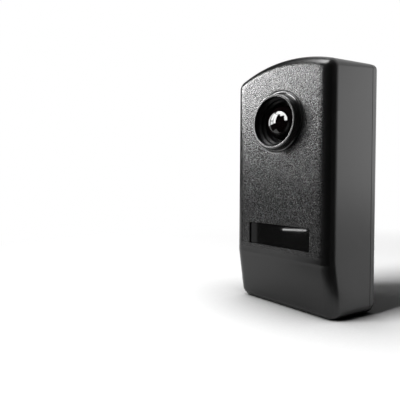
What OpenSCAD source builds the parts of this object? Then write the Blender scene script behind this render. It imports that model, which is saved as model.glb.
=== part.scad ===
// Gate safety photocell: the receiver of an infrared light barrier, in a black moulded case.
// Pieces are drawn with x across, y up the wall and z away from the wall; upright() stands them up.
// The origin lies under the middle of the case, on the surface that it stands on.

/* [Case] */
// Width over the side walls, at the back
body_w = 55; // [53:0.5:62]
// Height from the foot to the crown of the arched top
body_h = 110; // [107:0.5:125]
// Depth from the wall to the flat face
body_d = 30; // [29:0.5:40]
// Rise of the arched top over its corners
arch_rise = 5.8; // [3:0.2:9]
// Set-back of the foot behind the flat face, where the leaning lower face ends
foot_back = 3.6; // [1.5:0.1:5.5]
// Height of the crease where the lower face starts to lean back
crease_y = 22.6; // [16:0.1:25]
// Wall of the moulded cover
wall = 2.2; // [1.8:0.1:2.6]
// Draw-in of the sides and the top between seam and face
draft = 1; // [0.4:0.1:1.1]
// Rounding of the edge round the face
face_edge_r = 3.8; // [3:0.1:3.8]
// Rounding of the edge round the back
back_edge_r = 2.6; // [1:0.1:3]
// Corner radius at the ends of the arch, at the seam
top_corner_r = 2.6; // [2.4:0.1:8]
// Corner radius at the foot, seen from the front
low_corner_r = 4.8; // [4.8:0.1:9]

/* [Rear base] */
// Depth of the rim that shows behind the seam
rim_d = 4.5; // [4:0.1:6]
// Thickness of the base's floor
floor_t = 2.4; // [2:0.1:3]
// Height of the spigot that the cover slides over
spigot_h = 4.5; // [3:0.1:5]
// Wall of the spigot
spigot_t = 1.6; // [1.2:0.1:2]
// Depth of the relief in the back
relief_d = 0.8; // [0.5:0.1:1]
// Width of the land left round the relief
land_w = 5.5; // [4:0.1:7]
// Height of the board's posts over the floor
post_h = 5.6; // [4.5:0.1:7]
// Radius of the board's posts
post_r = 2.9; // [2.4:0.1:3.1]

/* [Wall fixing] */
// Radius of the two wall screw holes
wall_hole_r = 2.25; // [1.8:0.05:2.6]
// Radius kept free for a wall screw's head
wall_head_r = 4.2; // [3.8:0.1:4.6]
// Height of the lower wall screw hole
low_hole_y = 20.5; // [20:0.1:22.5]
// Distance of the upper wall screw hole below the crown
top_hole_drop = 12; // [11:0.1:14]
// Radius of the cable entries
entry_r = 5; // [4:0.1:5.4]
// Distance of the cable entries from the case's sides
entry_side = 13.5; // [12.5:0.1:15]

/* [Lens and collar] */
// Distance of the lens axis below the crown
lens_drop = 28.2; // [26:0.1:32]
// Height of the collar over the face
collar_h = 3.5; // [3:0.1:5]
// Wall of the collar at its foot
collar_t = 1.5; // [1.2:0.1:2.2]
// Draw-in of the collar's wall towards its lip
collar_draft = 0.3; // [0.1:0.1:0.5]
// Fillet between collar and face
collar_fillet_r = 1; // [0.5:0.1:1.5]
// Rounding of the lip's outer edge
lip_round_r = 0.5; // [0.3:0.1:0.6]
// Width of the ledge round the dome, at the bottom of the well
ledge_w = 1.1; // [0.8:0.1:1.5]
// Width of each step up the well
tier_w = 0.9; // [0.6:0.05:1.2]
// Depth of the first step below the lip
first_tier_d = 2.6; // [2:0.1:3]
// Depth of the second step below the lip
second_tier_d = 4.7; // [4.2:0.1:5.4]
// Slope height at each step
tier_slope = 0.6; // [0.3:0.1:0.8]
// Radius of the lens dome
dome_r = 7.5; // [6.5:0.1:8.5]
// Depth of the dome's crown below the lip
dome_drop = 0.1; // [0.1:0.1:1]

/* [Window] */
// Distance of the window slot from the case's sides
window_side = 10.6; // [9.5:0.1:13]
// Height of the window slot
window_h = 9.8; // [7:0.2:11]
// Distance of the window slot above the crease
window_rise = 4.4; // [4.2:0.1:8]
// Depth of the pane behind the face
pane_drop = 0.7; // [0.4:0.1:1.4]

/* [Circuit board] */
// Thickness of the circuit board
board_t = 1.6; // [1.2:0.1:2]
// Reach of the board below the window's middle
board_drop = 4.7; // [4.2:0.1:5]
// Reach of the board above the lens axis
board_rise = 11; // [10.5:0.1:12]
// Room between the board and the tray's side walls
board_gap = 1.5; // [1:0.1:1.8]

/* [Fits] */
// Gap of the seam between rim and cover
seam_gap = 0.2; // [0.1:0.05:0.3]
// Gap between spigot and cover
spigot_gap = 0.15; // [0.1:0.05:0.3]
// Slack between pieces that are pushed or glued together
slack = 0.05; // [0.02:0.01:0.1]

/* [Hidden] */
$fn = 64;

// One overrun for every cut, one thin slice for every blend, and the facets of a blend's balls
over = 0.5;
slice_t = 0.02;
ball_fn = 32;
corner_steps = 6;
arch_steps = 16;

// Arch and corners of the outline
arch_r = (pow(body_w / 2, 2) + pow(arch_rise, 2)) / (2 * arch_rise);
arch_c = [0, body_h - arch_r];
low_corner_c = [body_w / 2 - low_corner_r, low_corner_r];

// Lean of the lower face
lean = atan(foot_back / crease_y);

// Levels above the wall
seam_z = rim_d + seam_gap;
spigot_z = rim_d + spigot_h;
board_z = floor_t + post_h;
deck_z = board_z + board_t;
inner_z = body_d - wall;
lip_z = body_d + collar_h;
dome_z = lip_z - dome_drop - dome_r;

// Lens axis, and the radii of the well and the collar round it
lens_y = body_h - lens_drop;
aperture_gap = 0.3;
aperture_r = dome_r + aperture_gap;
second_r = aperture_r + ledge_w;
first_r = second_r + tier_w;
well_r = first_r + tier_w;
collar_r = well_r + collar_t;

// Window slot
window_w = body_w - 2 * window_side;
window_y = crease_y + window_rise + window_h / 2;

// Tray inside the spigot, and the board in it
spigot_inset = wall + spigot_gap;
tray_inset = spigot_inset + spigot_t;
board_w = body_w - 2 * (tray_inset + board_gap);
top_hole_y = body_h - top_hole_drop;
entry_x = body_w / 2 - entry_side;
board_low = window_y - board_drop;
board_h = lens_y + board_rise - board_low;
board_corner_r = 2;
pad_t = 1;
rib_t = 1.2;
rib_d = 1.3;
rib_shares = [0.34, 0.55, 0.76];

// Gasket in the rim
gasket_w = 1;
gasket_d = 0.9;

// Cover screw, its lug on the base and the notch in the cover
screw_r = 1.5;
screw_head_r = 2.8;
screw_head_t = 1.6;
screw_in = 5;
screw_z = seam_z + screw_in;
screw_low = 0.3;
lug_w = 9;
lug_gap = 0.3;
lug_h = 8;
lug_web = 2;
notch_gap = 0.2;
pad_w = 10.5;
cover_pad_t = 1.6;
head_room = 0.5;

// Grommet
grommet_flange = 1.5;
grommet_front_t = 1.1;
grommet_hub_t = 2.6;
cable_r = 2;

// Lens seat and the pieces in it
seat_web = 1.4;
flange_w = 1.9;
flange_t = 1.2;
seal_d = 1.2;
ring_t = 1.8;
ring_w = 2.4;
ring_notch_w = 2;
barrel_t = 2;
barrel_end = 0.4;
seat_r = dome_r + flange_w;
barrel_r = seat_r + barrel_t;
seat_z = dome_z - seat_web;
flange_z = seat_z - seal_d;
ring_z = flange_z - flange_t - ring_t;
barrel_z = ring_z - barrel_end;

// Window pane, held by two staked pins
pane_flange = 2;
pane_t = 1.2;
pane_ear = 3.4;
stake_r = 0.8;
stake_head_r = 1.3;
stake_head_t = 0.6;
stake_x = window_w / 2 + pane_ear / 2;

// Board screws
board_screw_r = 1.1;
board_screw_l = 6;
board_head_r = 2.4;
board_head_t = 1.7;
board_hole_r = 1.5;
board_screw_inset = 3;
slot_w = 0.6;
slot_d = 0.7;

// Sensor and its shroud
shroud_r = 6.2;
shroud_t = 1.1;
shroud_foot_r = 7.4;
shroud_foot_t = 1.2;
shroud_floor = 1.5;
shroud_gap = 1.2;
sensor_r = 2.5;
sensor_rim = 0.4;
sensor_rim_t = 1;
sensor_l = 7;

// Terminal block
poles = 4;
pitch = 3.5;
block_d = 7.8;
block_h = 8.6;
block_step = 1.8;
block_margin = 1;
block_wall = 0.5;
block_floor = 1;
clamp_h = 4.2;
clamp_t = 0.4;
clamp_d = 3.4;
terminal_screw_r = 1.2;
terminal_screw_drop = 0.5;
terminal_shank_r = 0.8;
entry_d = 6.4;
block_w = poles * pitch;
block_y = board_low + block_margin + block_d / 2;
pole_w = pitch - 2 * block_wall;

// Status lights behind the window
led_r = 1.5;
led_rim = 0.4;
led_rim_t = 0.8;
led_l = 5.2;
led_gap = 1.8;
led_in = 3;
led_x = window_w / 2 - led_in;
spacer_r = 2.1;
spacer_bore_r = 1;
spacer_top_z = inner_z - pane_t - led_gap - led_l;

// Relay
relay_size = [10.2, 15.4, 10.4];
relay_edge_r = 0.8;
relay_stand = 0.4;
relay_stand_in = 1;

// Electrolytic capacitors
capacitor_r = 4;
capacitor_h = 12;
small_capacitor_r = 2.5;
small_capacitor_h = 8;
crimp_d = 0.3;
crimp_y = 1.6;
crimp_h = 0.9;

// Bridge rectifier, regulator and varistor
bridge_r = 4.5;
bridge_h = 5.6;
bridge_flat = 1;
regulator_r = 2.4;
regulator_flat = 1.1;
regulator_h = 4.6;
leg_w = 0.5;
leg_l = 2;
leg_pitch = 1.27;
varistor_r = 3.5;
varistor_t = 3.2;
varistor_pitch = 5;

// Amplifier chip
chip_size = [6.4, 9.6, 3.4];
chip_stand = 0.5;
chip_notch_r = 0.8;
chip_notch_d = 0.4;
chip_pins = 4;
chip_pitch = 2.54;
chip_leg_w = 0.6;
chip_leg_t = 0.3;
chip_leg_out = 0.7;

// Axial resistors
resistor_l = 6.3;
resistor_r = 1.15;
resistor_waist_r = 0.95;
resistor_cap_l = 1.4;
resistor_lead_r = 0.3;
resistor_lead_out = 1.3;
resistor_stand = 0.2;

// Sensitivity trimmer
trimmer_w = 6.8;
trimmer_h = 4.8;
trimmer_edge_r = 0.5;
rotor_r = 2.6;
rotor_t = 1.5;
rotor_gap = 0.1;
rotor_pin_r = 0.9;
rotor_pin_l = 1.6;
rotor_slot_w = 0.8;
rotor_slot_d = 0.8;
rotor_tail_share = 0.35;

// Output jumper
pins = 3;
pin_pitch = 2.54;
pin_w = 0.64;
pin_h = 8.4;
strip_h = 2.5;
strip_gap = 0.1;
cap_gap = 0.12;
cap_wall = 0.5;
cap_h = 6;
cap_grip = 0.3;
cap_edge_r = 0.3;

// Places on the board: the lower pieces stand in rows above the terminal block,
// the upper ones hang below the upper board screws
side_gap = 0.8;
part_gap = 0.4;
side_x = board_w / 2 - side_gap;
parts_y = block_y + block_d / 2 + 2 * part_gap;
upper_y = parts_y + 2 * max(capacitor_r, bridge_r) + part_gap;
hang_y = board_low + board_h - board_screw_inset - board_head_r - part_gap;
relay_place = [relay_size.x / 2 - side_x, parts_y + relay_size.y / 2];
regulator_place = [side_x - regulator_r, parts_y + regulator_r];
capacitor_place = [side_x - 2 * regulator_r - part_gap - capacitor_r, parts_y + capacitor_r];
varistor_place = [side_x - varistor_r, upper_y + varistor_t / 2];
relay_end = relay_size.x - side_x;
bridge_place = [(relay_end + capacitor_place.x - capacitor_r) / 2, parts_y + bridge_r];
small_capacitor_x = (relay_end + varistor_place.x - varistor_r) / 2;
small_capacitor_places = [
    for (side = [-1, 1])
        [small_capacitor_x + side * (small_capacitor_r + part_gap / 2), upper_y + small_capacitor_r]
];
trimmer_place = [side_x - trimmer_w / 2, hang_y - trimmer_w / 2];
resistor_y = hang_y - trimmer_w - part_gap - resistor_l / 2 - resistor_lead_out - resistor_lead_r;
resistor_places = [
    for (i = [0:2])
        [side_x - resistor_r - i * (2 * resistor_r + 2 * part_gap), resistor_y]
];
jumper_place = [pins * pin_pitch / 2 - side_x, hang_y - pin_pitch / 2];
chip_place = [
    chip_size.x / 2 + chip_leg_out - side_x,
    hang_y - pin_pitch - part_gap - chip_size.y / 2
];

// A run of points on an arc from one angle to another
function arc(c, r, from, to, steps) = [
    for (i = [0:steps])
        let (a = from + (to - from) * i / steps)
        c + r * [cos(a), sin(a)]
];

function mirrored(points) = [for (i = [len(points) - 1:-1:0]) [-points[i].x, points[i].y]];

// A corner rounded by r round c, which is one point where no radius is left
function corner(c, r, from, to, steps) = r > 0 ? arc(c, r, from, to, steps) : [c];

// Centre of the circle of radius r that touches the side and the arch, and where it meets the arch
function top_corner_c(r) = [
    body_w / 2 - r,
    arch_c.y + sqrt(pow(arch_r - r, 2) - pow(body_w / 2 - r, 2))
];

function top_corner_a(c) = atan2(c.y - arch_c.y, c.x);

// The case's outline moved inwards by inset, with its lower corners lowered by drop
function right_side(inset, drop, steps) =
    let (r = max(top_corner_r, inset), c = top_corner_c(r))
    concat(
        corner(low_corner_c - [0, drop], max(low_corner_r - inset, 0), -90, 0, steps),
        corner(c, r - inset, 0, top_corner_a(c), steps)
    );

function crown(inset) =
    let (end = top_corner_a(top_corner_c(max(top_corner_r, inset))))
    [
        for (i = [1:arch_steps - 1])
            let (a = end + (180 - 2 * end) * i / arch_steps)
            arch_c + (arch_r - inset) * [cos(a), sin(a)]
    ];

function outline(inset, drop = 0, steps = corner_steps) = concat(
    right_side(inset, drop, steps), crown(inset), mirrored(right_side(inset, drop, steps))
);

// Height above the wall of the face edge's rounding centre, at height y up the case
function edge_z(y) = min(
    body_d - face_edge_r,
    body_d - face_edge_r / cos(lean) - (crease_y - y) * tan(lean)
);

// Where the rounding centres of the flat and the leaning face meet
edge_crease_y = crease_y + face_edge_r * (1 - cos(lean)) / sin(lean);

module upright() translate([0, lip_z / 2, 0]) rotate([90, 0, 0]) children();

// Puts children on top of the board
module on_board(place) translate([place.x, place.y, deck_z]) children();

module at_board_corners() {
    x = board_w / 2 - board_screw_inset;
    low = board_low + board_screw_inset;
    high = board_low + board_h - board_screw_inset;
    for (place = [[-x, low], [x, low], [-x, high], [x, high]]) {
        translate([place.x, place.y, 0]) children();
    }
}

module sheet(inset, from, to) {
    translate([0, 0, from]) linear_extrude(to - from) polygon(outline(inset));
}

module round_square(size, r) {
    square([size.x, size.y - 2 * r], center = true);
    square([size.x - 2 * r, size.y], center = true);
    for (x = [-1, 1], y = [-1, 1]) {
        translate([x * (size.x / 2 - r), y * (size.y / 2 - r)]) circle(r);
    }
}

module block(size, r) linear_extrude(size.z) round_square(size, r);

module tube(outer, inner, h) {
    linear_extrude(h) difference() {
        circle(outer);
        circle(inner);
    }
}

// A ball with a point at each pole, so that what blends over it touches its planes exactly
module ball(r) rotate_extrude($fn = ball_fn) polygon(arc([0, 0], r, -90, 90, ball_fn / 2));

// The cover's body: the outline at the seam blended into a rounded edge round the face
module cover_body(inset, from) {
    front = concat(
        outline(draft + face_edge_r, draft, 2),
        [for (x = [-1, 1]) [x * (body_w / 2 - draft - face_edge_r), edge_crease_y]]
    );
    hull() {
        translate([0, 0, from]) linear_extrude(slice_t) polygon(outline(inset));
        for (p = front) {
            translate([p.x, p.y, edge_z(p.y)]) ball(face_edge_r - inset);
        }
    }
}

// The base's outer body, rounded round the back
module base_body() {
    difference() {
        hull() {
            linear_extrude(slice_t) polygon(outline(back_edge_r));
            for (p = outline(back_edge_r, 0, 2)) {
                translate([p.x, p.y, back_edge_r]) ball(back_edge_r);
            }
            translate([0, 0, rim_d - slice_t]) linear_extrude(slice_t) polygon(outline(0));
        }
        sheet(0, rim_d, 2 * back_edge_r + over);
    }
}

module collar() {
    foot = collar_r + collar_fillet_r;
    top = collar_r - collar_draft - lip_round_r;
    rotate_extrude() polygon(concat(
        [[0, inner_z], [foot, inner_z]],
        arc([foot, body_d + collar_fillet_r], collar_fillet_r, 270, 180, corner_steps),
        arc([top, lip_z - lip_round_r], lip_round_r, 0, 90, corner_steps),
        [[0, lip_z]]
    ));
}

// The stepped well in front of the lens and the seat behind it, as one turned cut
module lens_bore() {
    first_z = lip_z - first_tier_d;
    second_z = lip_z - second_tier_d;
    rotate_extrude() polygon([
        [0, barrel_z - over], [seat_r, barrel_z - over], [seat_r, seat_z],
        [aperture_r, seat_z], [aperture_r, dome_z], [second_r, dome_z],
        [second_r, second_z - tier_slope], [first_r, second_z],
        [first_r, first_z - tier_slope], [well_r, first_z],
        [well_r, lip_z + over], [0, lip_z + over]
    ]);
}

// A slot along z that is open at the seam and round at the cover screw
module screw_notch(r, from, to) {
    translate([0, from, screw_z]) rotate([-90, 0, 0]) cylinder(to - from, r, r);
    translate([-r, from, seam_z - over]) cube([2 * r, to - from, screw_z - seam_z + over]);
}

module front_cover() color("#1b1b1d") upright() {
    inner_x = body_w / 2 - wall;
    foot_pad = screw_z + screw_head_r + head_room - seam_z;
    difference() {
        union() {
            difference() {
                cover_body(0, seam_z);
                cover_body(wall, spigot_z);
                sheet(wall, seam_z - over, spigot_z + slice_t);
            }
            translate([0, lens_y, 0]) {
                collar();
                translate([0, 0, barrel_z]) cylinder(inner_z - barrel_z, barrel_r, barrel_r);
            }
            translate([-pad_w / 2, wall / 2, seam_z]) {
                cube([pad_w, wall / 2 + cover_pad_t, foot_pad]);
            }
            for (side = [-1, 1]) {
                translate([side * stake_x, window_y, inner_z - pane_t - slack]) {
                    cylinder(pane_t + slack + wall / 2, stake_r, stake_r);
                    translate([0, 0, -stake_head_t]) {
                        cylinder(stake_head_t, stake_head_r, stake_head_r);
                    }
                }
                for (share = rib_shares) {
                    translate([
                        side * (inner_x - draft - rib_d / 2 + wall / 4) - (rib_d + wall / 2) / 2,
                        share * body_h, spigot_z + seam_gap
                    ]) {
                        cube([rib_d + wall / 2, rib_t, body_d - face_edge_r - spigot_z]);
                    }
                }
            }
        }
        translate([0, lens_y, 0]) lens_bore();
        translate([-window_w / 2, window_y - window_h / 2, inner_z - over]) {
            cube([window_w, window_h, wall + 2 * over]);
        }
        screw_notch(screw_r + notch_gap, -over, wall + cover_pad_t + over);
        screw_notch(screw_head_r + notch_gap, -over, screw_low + screw_head_t);
    }
}

module rear_base() color("#1b1b1d") upright() {
    lug_y = wall + cover_pad_t + lug_gap;
    lug_top = screw_z + screw_r + lug_web;
    difference() {
        union() {
            difference() {
                union() {
                    base_body();
                    sheet(spigot_inset, rim_d, spigot_z);
                }
                sheet(tray_inset, floor_t, spigot_z + over);
                difference() {
                    sheet(land_w, -over, relief_d);
                    back_lands();
                }
                difference() {
                    sheet(spigot_inset / 2 - gasket_w / 2, rim_d - gasket_d, rim_d + over);
                    sheet(spigot_inset / 2 + gasket_w / 2, rim_d - gasket_d - over, rim_d + 2 * over);
                }
                translate([-pad_w / 2 - lug_gap, wall / 2, rim_d]) {
                    cube([pad_w + 2 * lug_gap, tray_inset, spigot_h + over]);
                }
            }
            at_board_corners() translate([0, 0, floor_t / 2]) {
                cylinder(board_z - floor_t / 2, post_r, post_r);
            }
            post_ribs();
            for (y = [low_hole_y, top_hole_y]) {
                translate([0, y, floor_t / 2]) {
                    cylinder(floor_t / 2 + pad_t, wall_head_r, wall_head_r);
                }
            }
            translate([-lug_w / 2, lug_y, floor_t / 2]) cube([lug_w, lug_h, lug_top - floor_t / 2]);
        }
        at_board_corners() translate([0, 0, board_z - board_screw_l]) {
            cylinder(board_screw_l + over, board_screw_r, board_screw_r);
        }
        for (y = [low_hole_y, top_hole_y]) {
            translate([0, y, -over]) cylinder(floor_t + pad_t + 2 * over, wall_hole_r, wall_hole_r);
        }
        translate([-entry_x, entry_y(), -over]) cylinder(floor_t + 2 * over, entry_r, entry_r);
        translate([entry_x, entry_y(), floor_t - knock_d()]) tube(entry_r, entry_r - slot_w, floor_t);
        translate([0, lug_y - over, screw_z]) rotate([-90, 0, 0]) {
            cylinder(lug_h + 2 * over, screw_r, screw_r);
        }
    }
}

// The cable entries stand beside the lower wall screw
function entry_y() = low_hole_y - 2;

// The closed entry is outlined by a groove that leaves half of the relieved floor
function knock_d() = (floor_t - relief_d) / 2;

// Places on the back that stay level with the wall: round the screws, and a bar across the middle
module back_lands() {
    for (y = [low_hole_y, top_hole_y]) {
        translate([0, y, -2 * over]) cylinder(floor_t + 2 * over, wall_head_r, wall_head_r);
    }
    translate([-body_w / 2, body_h / 2 - land_w / 2, -2 * over]) {
        cube([body_w, land_w, floor_t + 2 * over]);
    }
}

// Ribs from the board's posts to the tray's side walls
module post_ribs() {
    x = board_w / 2 - board_screw_inset;
    reach = body_w / 2 - tray_inset + spigot_t / 2 - x;
    for (side = [-1, 1], y = [board_screw_inset, board_h - board_screw_inset]) {
        translate([side * (x + reach / 2) - reach / 2, board_low + y - rib_t / 2, floor_t / 2]) {
            cube([reach, rib_t, board_z - floor_t]);
        }
    }
}

module cover_gasket() color("#3a3a3c") upright() {
    from = rim_d - gasket_d;
    difference() {
        sheet(spigot_inset / 2 - gasket_w / 2 + slack, from, rim_d + seam_gap / 2);
        sheet(spigot_inset / 2 + gasket_w / 2 - slack, from - over, rim_d + seam_gap / 2 + over);
    }
}

module cover_screw() color("#b9bcc0") upright() {
    shank = wall + cover_pad_t + lug_gap + lug_h - screw_low - screw_head_t;
    translate([0, screw_low, screw_z]) rotate([-90, 0, 0]) difference() {
        union() {
            cylinder(screw_head_t, screw_head_r, screw_head_r);
            cylinder(screw_head_t + shank, screw_r - slack, screw_r - slack);
        }
        for (turn = [0, 90]) {
            rotate([0, 0, turn]) cube([2 * screw_r, slot_w, 2 * slot_d], center = true);
        }
    }
}

module cable_grommet() color("#2a2a2c") upright() {
    neck_r = entry_r - slack;
    flange_r = entry_r + grommet_flange;
    hub_z = floor_t + grommet_front_t + grommet_hub_t;
    translate([-entry_x, entry_y(), 0]) rotate_extrude() polygon([
        [cable_r, relief_d / 2], [flange_r - relief_d / 2, relief_d / 2],
        [flange_r - relief_d / 2, relief_d], [neck_r, relief_d], [neck_r, floor_t],
        [flange_r, floor_t], [flange_r - grommet_front_t / 2, floor_t + grommet_front_t],
        [neck_r - grommet_front_t, floor_t + grommet_front_t],
        [cable_r + grommet_front_t, hub_z], [cable_r, hub_z]
    ]);
}

module window_pane() color("#0d0d10") upright() {
    w = window_w - 2 * slack;
    h = window_h - 2 * slack;
    base_z = inner_z - pane_t;
    difference() {
        union() {
            translate([0, window_y, base_z]) {
                linear_extrude(wall - pane_drop + pane_t) square([w, h], center = true);
                block([window_w + 2 * pane_ear, window_h + 2 * pane_flange, pane_t], pane_flange);
            }
        }
        for (side = [-1, 1]) {
            translate([side * stake_x, window_y, base_z - over]) {
                cylinder(pane_t + 2 * over, stake_r + slack, stake_r + slack);
            }
        }
    }
}

module lens_dome() color("#08080a") upright() {
    translate([0, lens_y, 0]) rotate_extrude() polygon(concat(
        [[0, flange_z - flange_t], [seat_r - slack, flange_z - flange_t], [seat_r - slack, flange_z]],
        [[dome_r, flange_z]],
        arc([0, dome_z], dome_r, 0, 90, ball_fn)
    ));
}

module lens_seal() color("#2f2f31") upright() {
    translate([0, lens_y, seat_z - seal_d / 2]) rotate_extrude() {
        translate([(dome_r + seat_r) / 2, 0]) circle(seal_d / 2 - slack / 2);
    }
}

module lens_ring() color("#232325") upright() {
    translate([0, lens_y, ring_z]) difference() {
        tube(seat_r - slack, seat_r - ring_w, ring_t);
        cube([2 * seat_r + over, ring_notch_w, ring_t], center = true);
    }
}

module circuit_board() color("#1d6a3c") upright() {
    difference() {
        translate([0, board_low + board_h / 2, board_z]) block([board_w, board_h, board_t], board_corner_r);
        at_board_corners() translate([0, 0, board_z - over]) {
            cylinder(board_t + 2 * over, board_hole_r, board_hole_r);
        }
    }
}

module board_screws() color("#c3c6c9") upright() {
    at_board_corners() translate([0, 0, deck_z]) difference() {
        union() {
            cylinder(board_head_t, board_head_r, board_head_r);
            translate([0, 0, slack - board_screw_l]) {
                cylinder(board_screw_l, board_screw_r - slack / 2, board_screw_r - slack / 2);
            }
        }
        for (turn = [45, 135]) {
            translate([0, 0, board_head_t]) rotate([0, 0, turn]) {
                cube([2 * screw_r, slot_w, 2 * slot_d], center = true);
            }
        }
    }
}

module sensor_shroud() color("#202022") upright() {
    top = ring_z - shroud_gap - deck_z;
    bore_r = shroud_r - shroud_t;
    translate([0, lens_y, deck_z]) rotate_extrude() polygon([
        [0, 0], [shroud_foot_r, 0], [shroud_foot_r, shroud_foot_t], [shroud_r, shroud_foot_t + shroud_t],
        [shroud_r, top], [bore_r + shroud_t / 2, top], [bore_r, top - shroud_t],
        [bore_r, shroud_floor], [0, shroud_floor]
    ]);
}

// A round lamp body: a rim, a straight part and a domed end
module lamp(r, rim, rim_t, l) {
    rotate_extrude() polygon(concat(
        [[0, 0], [r + rim, 0], [r + rim, rim_t], [r, rim_t]],
        arc([0, l - r], r, 0, 90, corner_steps)
    ));
}

module infrared_sensor() color("#141018") upright() {
    translate([0, lens_y, deck_z + shroud_floor]) lamp(sensor_r, sensor_rim, sensor_rim_t, sensor_l);
}

module at_poles() {
    for (i = [0:poles - 1]) {
        translate([(i + 1 / 2) * pitch - block_w / 2, block_y, deck_z]) children();
    }
}

module terminal_block() color("#2d8a4a") upright() {
    back = block_d / 2;
    difference() {
        translate([-block_w / 2, block_y, deck_z]) rotate([90, 0, 90]) linear_extrude(block_w) polygon([
            [-back, 0], [back, 0], [back, block_h - block_step], [back - block_step / 2, block_h],
            [block_step - back, block_h], [-back, block_h - block_step]
        ]);
        at_poles() {
            translate([-pole_w / 2, -back - over, block_floor]) {
                cube([pole_w, entry_d + over, clamp_h + slack]);
            }
            translate([0, 0, block_floor]) {
                cylinder(block_h, terminal_screw_r + slack, terminal_screw_r + slack);
            }
        }
    }
}

module wire_clamps() color("#cfd2d5") upright() {
    w = pole_w - 2 * slack;
    at_poles() translate([0, 0, block_floor]) difference() {
        translate([-w / 2, -clamp_d / 2, 0]) cube([w, clamp_d, clamp_h]);
        translate([clamp_t - w / 2, -clamp_d / 2 - over, clamp_t]) {
            cube([w - 2 * clamp_t, clamp_d + 2 * over, clamp_h - 3 * clamp_t]);
        }
        cylinder(clamp_h + over, terminal_shank_r + slack, terminal_shank_r + slack);
    }
}

module terminal_screws() color("#d6d8da") upright() {
    head_z = block_floor + clamp_h + slack;
    head_t = block_h - terminal_screw_drop - head_z;
    at_poles() translate([0, 0, head_z]) difference() {
        union() {
            cylinder(head_t, terminal_screw_r, terminal_screw_r);
            translate([0, 0, -clamp_h / 2]) cylinder(clamp_h / 2, terminal_shank_r, terminal_shank_r);
        }
        translate([0, 0, head_t]) cube([2 * terminal_screw_r + over, slot_w, 2 * slot_d], center = true);
    }
}

module relay() color("#e9e6da") upright() {
    on_board(relay_place) {
        translate([0, 0, relay_stand]) block(relay_size, relay_edge_r);
        linear_extrude(relay_stand) {
            square([relay_size.x - 2 * relay_stand_in, relay_size.y - 2 * relay_stand_in], center = true);
        }
    }
}

// A can with a crimped groove near its foot and a rounded top edge
module can(r, h) {
    rotate_extrude() polygon(concat(
        [[0, 0], [r, 0], [r, crimp_y], [r - crimp_d, crimp_y + crimp_h / 2], [r, crimp_y + crimp_h]],
        arc([r - crimp_h, h - crimp_h], crimp_h, 0, 90, corner_steps),
        [[0, h]]
    ));
}

module main_capacitor() color("#26324a") upright() {
    on_board(capacitor_place) can(capacitor_r, capacitor_h);
}

module small_capacitors() color("#26324a") upright() {
    for (place = small_capacitor_places) {
        on_board(place) can(small_capacitor_r, small_capacitor_h);
    }
}

module bridge_rectifier() color("#18181a") upright() {
    on_board(bridge_place) linear_extrude(bridge_h) difference() {
        circle(bridge_r);
        translate([bridge_r - bridge_flat, -bridge_r]) square([2 * bridge_flat, 2 * bridge_r]);
    }
}

module legs(count, spacing, l) {
    for (i = [0:count - 1]) {
        translate([(i - (count - 1) / 2) * spacing, 0, 0]) {
            linear_extrude(l) square([leg_w, leg_w], center = true);
        }
    }
}

module voltage_regulator() color("#1a1a1c") upright() {
    on_board(regulator_place) {
        legs(3, leg_pitch, leg_l + leg_w);
        translate([0, 0, leg_l]) linear_extrude(regulator_h) difference() {
            circle(regulator_r);
            translate([-regulator_r, -regulator_r]) square([2 * regulator_r, regulator_flat]);
        }
    }
}

module surge_varistor() color("#2456a0") upright() {
    on_board(varistor_place) {
        legs(2, varistor_pitch, leg_l + varistor_r / 2);
        translate([0, varistor_t / 2, leg_l + varistor_r - leg_w]) rotate([90, 0, 0]) {
            rotate_extrude() polygon(concat(
                [[0, 0]],
                arc([varistor_r - varistor_t / 2, varistor_t / 2], varistor_t / 2, -90, 90, corner_steps),
                [[0, varistor_t]]
            ));
        }
    }
}

module amplifier_chip() color("#161618") upright() {
    on_board(chip_place) {
        difference() {
            translate([0, 0, chip_stand]) block(chip_size, chip_notch_d);
            translate([0, chip_size.y / 2, chip_stand + chip_size.z - chip_notch_d]) {
                cylinder(chip_size.z, chip_notch_r, chip_notch_r);
            }
        }
        color("#c9ccce") for (side = [-1, 1], i = [0:chip_pins - 1]) {
            y = (i - (chip_pins - 1) / 2) * chip_pitch;
            x = side * (chip_size.x + chip_leg_out) / 2;
            leg_z = chip_stand + chip_size.z / 2;
            translate([x + side * chip_leg_out / 2, y, 0]) {
                linear_extrude(leg_z) square([chip_leg_t, chip_leg_w], center = true);
            }
            translate([x, y, leg_z]) {
                cube([chip_leg_out + chip_leg_t, chip_leg_w, chip_leg_t], center = true);
            }
        }
    }
}

// One axial resistor along y, with leads bent down to the board
module resistor() {
    half = resistor_l / 2;
    axis_z = resistor_r + resistor_stand;
    lead_y = half + resistor_lead_out;
    translate([0, 0, axis_z]) rotate([90, 0, 0]) rotate_extrude() polygon([
        [0, -half], [resistor_r, -half], [resistor_r, resistor_cap_l - half],
        [resistor_waist_r, resistor_cap_l - half + crimp_d],
        [resistor_waist_r, half - resistor_cap_l - crimp_d], [resistor_r, half - resistor_cap_l],
        [resistor_r, half], [0, half]
    ]);
    translate([0, lead_y, axis_z]) rotate([90, 0, 0]) {
        cylinder(2 * lead_y, resistor_lead_r, resistor_lead_r);
    }
    for (side = [-1, 1]) {
        translate([0, side * lead_y, 0]) {
            cylinder(axis_z + resistor_lead_r, resistor_lead_r, resistor_lead_r);
        }
    }
}

module resistors() color("#c8b48a") upright() {
    for (place = resistor_places) {
        on_board(place) resistor();
    }
}

module at_leds() {
    for (side = [-1, 1]) {
        translate([side * led_x, window_y, 0]) children();
    }
}

module led_spacers() color("#ececea") upright() {
    at_leds() translate([0, 0, deck_z]) tube(spacer_r, spacer_bore_r, spacer_top_z - deck_z);
}

module status_leds() color("#b3202a") upright() {
    at_leds() translate([0, 0, spacer_top_z]) lamp(led_r, led_rim, led_rim_t, led_l);
}

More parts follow.
